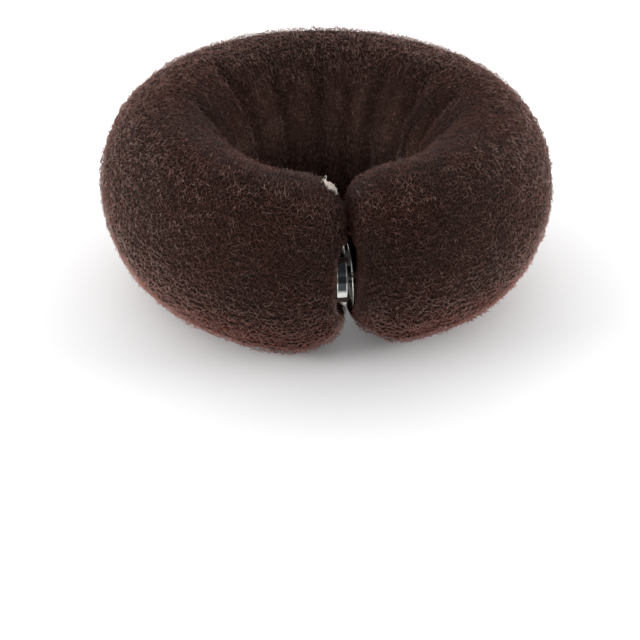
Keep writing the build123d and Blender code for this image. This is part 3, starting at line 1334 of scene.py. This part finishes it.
@dataclass
class NetRoll:
    """The wound net: a skin of its deeper layers, and the threads of its top layer."""

    surface: RollSurface
    skin_surface: RollSurface
    skin_depth: float = 0.62
    dimple_skin_depth: float = 0.2
    out_of_dimple: Ease = Ease(1.0, 7.0)
    crown_filled: Bell = Bell(62.0, 26.0, 0.55)
    skin_foot: float = 0.15
    closing_rings: int = 7
    # painted light on the skin beside the dimples and on the hole's back wall
    end_painted_light: float = 0.4
    by_dimple: Ease = Ease(7.0, 3.0)
    hole_painted_light: Bell = Bell(180.0, 38.0)
    facing_front: Ease = Ease(-0.2, -0.8)
    puckers: tuple[Bell, Bell] = (Bell(270.0, 40.0, 0.9), Bell(338.0, 62.0, 1.25))
    pucker_rise: Ease = Ease(0.0, 0.9)
    pucker_run: Ease = Ease(4.1, 0.9)
    row_spaces: tuple[Stop, ...] = (
        Stop(-50.0, 0.60), Stop(100.0, 0.60), Stop(112.0, 0.84), Stop(162.0, 0.84),
        Stop(175.0, 1.8), Stop(310.0, 1.8),
    )
    stitches: int = 500
    row_points: int = 1200
    row_inset: float = 0.4
    row_sunk: float = 0.02
    row_rise: Ease = Ease(0.0, 5.0)
    thread_radius: float = 0.054
    thread_foot: float = 0.12
    crinkle: Crinkle = Crinkle()
    tone: NetTone = NetTone()
    shared_shade: float = 0.5
    seed: int = 11

    def build_skin(self) -> bpy.types.Object:
        """The skin: the roll's surface set in by its depth, with both dimples closed.

        It lies nearer to the threads in the dimples and below the crown's loops, and stands
        up with the puckers. Its tone paints light beside the dimples and on the back of the hole.

        Returns:
            The skin's object.
        """
        surface = self.skin_surface
        ends = surface.from_ends(surface.lengths)
        share = self.out_of_dimple.at(ends)
        depth = self.dimple_skin_depth + (self.skin_depth - self.dimple_skin_depth) * share
        depth = depth[:, None] * (1 - self.crown_filled.at(surface.angles))
        depth = depth - self.pucker(surface, surface.lengths[:, None], surface.angles)
        rings = surface.places - surface.outward * depth[..., None]
        rings[..., 2] = np.maximum(rings[..., 2], self.skin_foot)
        # Painted light on the hole's back wall, where it faces the front, and beside the dimples.
        hole = self.hole_painted_light.at(surface.angles) * self.facing_front.at(surface.outward[..., 1])
        tone = np.maximum(self.end_painted_light * self.by_dimple.at(ends)[:, None], hole)
        shares = np.linspace(0, 1, self.closing_rings + 2)[1:-1, None, None]
        poles = rings[[0, -1]].mean(axis=1)
        left = poles[0] + (rings[0] - poles[0]) * shares
        right = poles[1] + (rings[-1] - poles[1]) * shares[::-1]
        closing = ((self.closing_rings, self.closing_rings), (0, 0))
        tone = np.pad(tone, closing, constant_values=self.end_painted_light).ravel()
        made = make_closed_tube(
            "net_skin",
            np.concatenate([left, rings, right]),
            poles,
            np.concatenate([tone, [self.end_painted_light] * 2]),
        )
        join_net(made, NET_SKIN.material())
        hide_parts("net_roll")
        return made

    def pucker(self, surface: RollSurface, length: Array, angle: Array) -> Array:
        """How far the net stands up beside the snap's dimples, in millimetres.

        Args:
            surface: the surface that the lengths belong to.
            length: millimetres along the crown.
            angle: degrees round the section.

        Returns:
            The height: each pucker's own, by its bell round the section, rising from the
            dimple's rim and running out along the roll.
        """
        ends = surface.from_ends(length)
        left, right = (bell.around(angle) for bell in self.puckers)
        high = np.where(length < surface.lengths[-1] / 2, left, right)
        return self.pucker_rise.at(ends) * self.pucker_run.at(ends) * high

    def stitch_rows(self, girth: Girth) -> Rows:
        """Spreads the rows of stitches over the outline, by the spaces wanted at each angle.

        Args:
            girth: of the section.

        Returns:
            The rows.
        """
        spaces = between(self.row_spaces, girth.angles)
        count = np.concatenate([[0.0], np.cumsum(np.diff(girth.lengths) / spaces[:-1])])
        total = int(round(count[-1]))
        wanted = (np.arange(total)[:, None] + 0.5) / total * count[-1]
        length = np.interp(wanted, count, girth.lengths)
        return Rows(length, np.interp(wanted, count, spaces), girth.angle_at(length))

    def thread_courses(self) -> tuple[Array, Array, Array, Array]:
        """The courses of the top layer's threads, one for each row of stitches.

        A thread lies over the roll by its crinkle's rise and fall, flat at both ends, and
        rises with the puckers.

        Returns:
            Each row's angle, and the rows' places, outward directions and tones.
        """
        rng = np.random.default_rng(self.seed)
        girth, reach = self.surface.girth(), self.surface.lengths[-1]
        rows = self.stitch_rows(girth)
        shape = (len(rows.angle), self.row_points)

        def draw(kind: Stray) -> Array:
            """The next noise of a kind, for every point."""
            return kind.draw(rng, shape)

        along = np.linspace(self.row_inset, reach - self.row_inset, self.row_points)[None]
        phase, across, lean = self.crinkle.swings(draw, along, reach / self.stitches, rows)
        begin = rng.random((len(rows.angle), 1))
        aside, loops = self.crinkle.loops(draw, along, begin, phase, rows)
        crimp = self.crinkle.crimps(draw, phase, rows)
        angle = girth.angle_at(rows.length + (across + aside))
        height = np.clip(crimp + loops, self.crinkle.lowest, self.crinkle.highest)
        height = height * self.row_rise.at(self.surface.from_ends(along)) - self.row_sunk
        height = height + self.pucker(self.surface, along, angle)
        paths, outward = self.surface.sample(along + lean, angle, height)
        paths[..., 2] = np.maximum(paths[..., 2], self.thread_foot)
        # Raised threads and loops get painted light and sunk ones painted shade; the jitter is
        # random tone.
        tone = self.tone.plain + self.tone.crimp * crimp + self.tone.loops * loops
        tone = tone + draw(self.tone.jitter)
        tone = self.tone.placed(tone, angle, paths, outward, reach - along)
        return rows.angle[:, 0], paths, outward, tone

    def build_threads(self) -> list[bpy.types.Object]:
        """The top layer's threads, as one object for each zone round the section.

        Returns:
            The objects.
        """
        row_angle, paths, outward, tone = self.thread_courses()
        material = NET_THREAD.material()
        made = []
        for zone in Zone:
            inside = zone.holds(row_angle)
            piece = make_strands(
                f"net_{zone.name.lower()}",
                paths[inside],
                outward[inside],
                radius=self.thread_radius,
                sides=3,
                tone=tone[inside],
                shared_shade=self.shared_shade,
            )
            made.append(join_net(piece, material))
        return made


class Mark(NamedTuple):
    """A place on the roll: length along it and angle round it."""

    length: float
    angle: float


@dataclass
class FrayedEnd:
    """Near-white fibres, tucked in at the top of the roll's left end."""

    surface: RollSurface
    marks: tuple[Mark, ...] = (
        Mark(13.9, 107.0), Mark(13.0, 100.0), Mark(12.0, 96.0), Mark(10.8, 96.5), Mark(9.2, 100.0)
    )
    fibres: int = 30
    points: int = 20
    course_points: int = 60
    last_begin: float = 0.6
    shortest: float = 0.2
    longest: float = 0.45
    width: float = 5.0
    length_stray: Stray = Stray(0.2, 5)
    angle_stray: Stray = Stray(4.0, 5)
    lift: float = 0.3
    lift_stray: Stray = Stray(0.4, 6)
    least_lift: float = 0.12
    root_depth: float = 0.7
    rooted: Ease = Ease(0.12, 0.0)
    tone: float = 0.6
    tone_stray: Stray = Stray(0.25, 5)
    fibre_radius: float = 0.042
    seed: int = 3

    def build(self) -> bpy.types.Object:
        """Fibres that lie side by side over the net, and come apart towards their tips.

        The marks give their course. Each runs over its own stretch of it, bowed up off the
        net, with seeded noise that grows towards its tip, and is rooted in the net.

        Returns:
            The fibres' object.
        """
        rng = np.random.default_rng(self.seed)
        shape = (self.fibres, self.points)
        share = np.linspace(0, 1, self.points)[None]
        begin = rng.uniform(0.0, self.last_begin, (self.fibres, 1))
        apart = rng.uniform(-0.5, 0.5, (self.fibres, 1)) * self.width
        run = begin + share * rng.uniform(self.shortest, self.longest, (self.fibres, 1))
        course = eased_path(np.array(self.marks), self.course_points)
        stretch = np.linspace(0, self.last_begin + self.longest, self.course_points)
        length = np.interp(run, stretch, course[:, 0])
        length = length + share * self.length_stray.draw(rng, shape)
        angle = np.interp(run, stretch, course[:, 1]) + apart
        angle = angle + share * self.angle_stray.draw(rng, shape)
        bow = self.lift * (0.5 + np.sin(np.pi * share))
        bow = np.maximum(bow + share * self.lift_stray.draw(rng, shape), self.least_lift)
        height = bow - self.root_depth * self.rooted.at(share)
        paths, outward = self.surface.sample(length, angle, height)
        tone = np.clip(self.tone + self.tone_stray.draw(rng, shape), 0, 1)
        made = make_strands(
            "frayed_end", paths, outward, radius=self.fibre_radius, sides=4, tone=tone
        )
        return join_net(made, PALE_FIBRE.material())


# ---------------------------------------------------------------- the press stud


class Pass(NamedTuple):
    """A place on a stitch: distance from the snap's axis, and distance behind its face."""

    out: float
    behind: float


@dataclass
class SnapHalf:
    """One half of the press stud, and the stitches that hold it to its end of the roll."""

    node: str
    origin: Point
    facing: Point
    first_turn: float
    slants: tuple[float, ...]
    route: tuple[Pass, ...]
    rim_to_hole: Ease = Ease(6.5, 5.1)
    route_points: int = 46
    strands: int = 6
    strand_space: float = 0.19
    closer_in_hole: float = 0.25
    drift: Stray = Stray(0.03, 9)
    strand_radius: float = 0.085
    tone: float = 0.45
    tone_stray: Stray = Stray(0.2, 7)
    seed: int = 5

    def build_stitches(self) -> bpy.types.Object:
        """Loops of thread over the rim, through each sewing hole.

        A loop follows the route's distances from the snap's axis and behind its face, and
        turns by its slant between the hole and the rim. Its strands lie side by side, closer
        in the hole.

        Returns:
            The stitches' object.
        """
        rng = np.random.default_rng(self.seed)
        holes = len(self.slants)
        facing = unit(np.array(self.facing))
        out = unit(np.array([0.0, -1.0, 0.0]) - facing * -facing[1])
        up = unit(np.array([0.0, 0.0, 1.0]) - facing * facing[2])
        route = eased_path(np.array(self.route), self.route_points)
        in_hole = self.rim_to_hole.at(route[:, 0])
        turns = self.first_turn + 360 * np.arange(holes)[:, None] / holes
        turns = np.radians(turns + np.array(self.slants)[:, None] * (1 - in_hole))[..., None]
        radial = np.cos(turns) * out + np.sin(turns) * up
        across = (-np.sin(turns) * out + np.cos(turns) * up)[:, None]
        side = (np.arange(self.strands)[:, None] - (self.strands - 1) / 2) * self.strand_space
        shape = (holes, self.strands, self.route_points)
        apart = side * (1 - self.closer_in_hole * in_hole) + self.drift.draw(rng, shape)
        course = np.array(self.origin) + radial * route[:, :1] - facing * route[:, 1:]
        paths = course[:, None] + across * apart[..., None]
        tone = np.clip(self.tone + self.tone_stray.draw(rng, shape), 0, 1)
        count = holes * self.strands
        return make_strands(
            f"{self.node}_stitches",
            paths.reshape(count, -1, 3),
            np.broadcast_to(across, paths.shape).reshape(count, -1, 3),
            radius=self.strand_radius,
            sides=6,
            tone=tone.reshape(count, -1),
        )


@dataclass
class PressStud:
    """The press stud: its two metal halves, carried over from the frame, and their thread."""

    surface: RollSurface
    snap_shift: float = 0.4
    flange_gap: float = 0.8128
    flange_tilt: float = 3.2
    socket_half: float = 1.175
    bright_radius: float = 6.1
    socket_route: tuple[Pass, ...] = (
        Pass(8.0, 3.9), Pass(7.2, 2.9), Pass(6.62, 2.1), Pass(6.60, 1.0), Pass(6.60, 0.25),
        Pass(6.4, -0.10), Pass(5.7, -0.12), Pass(5.1, -0.08), Pass(4.8, 0.3), Pass(4.8, 1.6),
        Pass(4.8, 3.5),
    )
    stud_route: tuple[Pass, ...] = (
        Pass(7.8, 1.7), Pass(7.1, 1.0), Pass(6.65, 0.5), Pass(6.60, 0.15), Pass(6.4, -0.10),
        Pass(5.7, -0.12), Pass(5.1, -0.08), Pass(4.8, 0.2), Pass(4.8, 0.8), Pass(4.9, 1.5),
    )

    def build(self, nodes: dict[str, bpy.types.Object]) -> list[bpy.types.Object]:
        """Gives both halves their metal and sews them on.

        Args:
            nodes: the frame's objects by name.

        Returns:
            The stitches' objects.
        """
        front, height = -self.surface.snap_out, self.surface.snap_height
        metal = PolishedMetalFinish(
            "nickel",
            bright=linear(226, 226, 222),
            dull=linear(196, 194, 188),
            # painted shade on the snap's faces and on the middle of its barrel
            painted_shade=linear(58, 61, 64),
            middle=(-self.snap_shift - self.socket_half, front, height),
            bright_radius=self.bright_radius,
            barrel_half=self.socket_half,
        ).material()
        tilt = np.radians(self.flange_tilt)
        halves = [
            SnapHalf(
                "snap_socket",
                (-self.snap_shift, front, height),
                facing=(1.0, 0.0, 0.0),
                first_turn=58.0,
                slants=(0.0, 0.0, 0.0, 13.0),
                route=self.socket_route,
            ),
            SnapHalf(
                "snap_stud",
                (self.flange_gap - self.snap_shift, front, height),
                facing=(-np.cos(tilt), 0.0, -np.sin(tilt)),
                first_turn=30.0,
                slants=(0.0, 0.0, 0.0, 0.0),
                route=self.stud_route,
                seed=6,
            ),
        ]
        for half in halves:
            nodes[half.node].data.materials.clear()
            nodes[half.node].data.materials.append(metal)
        material = SEWING_THREAD.material()
        return [join_net(half.build_stitches(), material) for half in halves]


# ---------------------------------------------------------------- studio


class Lamp(NamedTuple):
    """A square lamp turned to the middle of the floor, with its width and its watts."""

    name: str
    place: Point
    size: float
    power: float


@dataclass
class Studio:
    """Floor, light and camera."""

    floor_half: float = 4000.0
    camera_place: Point = (-43.891, -357.336, 217.061)
    camera_turn: Point = (57.2294, -0.7765, -6.3667)
    lens: float = 106.717
    sensor: float = 36.0
    clip: tuple[float, float] = (0.01, 50.0)
    room_light: float = 3.8
    dim_side: Point = (0.04, -0.30, 0.953)
    dim_share: float = 0.08
    dim_edges: tuple[float, float] = (0.85, -0.05)
    front_edges: tuple[float, float] = (0.93, 0.6)
    lamps: tuple[Lamp, ...] = (
        Lamp("lamp_left", (-1100.0, -160.0, 260.0), 500.0, 8.0),
        Lamp("lamp_right", (1100.0, -160.0, 260.0), 500.0, 8.0),
    )

    def build_floor(self) -> None:
        """A flat white floor at height 0."""
        square = np.array([[-1.0, -1.0, 0.0], [1.0, -1.0, 0.0], [1.0, 1.0, 0.0], [-1.0, 1.0, 0.0]])
        floor = make_mesh("floor", square * self.floor_half, [np.array([[0, 1, 2, 3]])])
        floor.data.materials.append(FloorFinish("studio_floor", linear(248, 248, 248)).material())

    def build_light(self) -> None:
        """A white room, and a soft lamp low at either side.

        The room is dim above and level in front: its light at a direction is the smaller of
        two shares, by how far the direction turns away from the dim side and from the front.
        """
        world = bpy.data.worlds.new("room")
        bpy.context.scene.world = world
        paint = Paint(world)
        way = paint.node("ShaderNodeTexCoord", output="Generated")
        above = paint.vector("DOT_PRODUCT", way, self.dim_side, "Value")
        front = paint.axis(way, "Y") * -1.0
        share = paint.spread(above, *self.dim_edges).smaller(paint.spread(front, *self.front_edges))
        dim = (self.dim_share,) * 3 + (1.0,)
        tone = paint.blend(share, dim, (1.0, 1.0, 1.0, 1.0))
        inputs = {"Color": tone, "Strength": self.room_light}
        glow = paint.node("ShaderNodeBackground", None, inputs)
        paint.node("ShaderNodeOutputWorld", None, {"Surface": glow})
        for lamp in self.lamps:
            light = bpy.data.lights.new(lamp.name, "AREA")
            light.size, light.energy = lamp.size * MM, lamp.power
            made = bpy.data.objects.new(lamp.name, light)
            made.location = np.array(lamp.place) * MM
            right, back, up = unit(np.array(lamp.place))
            made.rotation_euler = (np.arccos(up), 0.0, np.arctan2(back, right) + np.pi / 2)
            bpy.context.scene.collection.objects.link(made)

    def build_camera(self) -> None:
        """The camera at the photograph's place."""
        camera = bpy.data.objects.new("camera", bpy.data.cameras.new("camera"))
        camera.data.lens, camera.data.sensor_width = self.lens, self.sensor
        camera.data.clip_start, camera.data.clip_end = self.clip
        camera.location = np.array(self.camera_place) * MM
        camera.rotation_euler = np.radians(self.camera_turn)
        bpy.context.scene.collection.objects.link(camera)
        bpy.context.scene.camera = camera
        bpy.context.scene.view_settings.view_transform = "Standard"


def main() -> None:
    """Builds the camera, the net, the press stud and the studio, and logs each piece's faces."""
    logging.basicConfig(level=logging.INFO, format="%(name)s: %(message)s")
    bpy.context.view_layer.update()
    studio = Studio()
    studio.build_camera()
    coarse = RollSurface(points_round=72, roll_stations=210, rounding_stations=8, end_stations=14)
    roll = NetRoll(RollSurface(), coarse)
    made = [
        roll.build_skin(),
        *roll.build_threads(),
        FrayedEnd(roll.surface).build(),
        *PressStud(roll.surface).build(frame["nodes"]),
    ]
    for piece in made:
        log.info("%s: %d faces", piece.name, len(piece.data.polygons))
    studio.build_floor()
    studio.build_light()


if __name__ == "__main__":
    main()
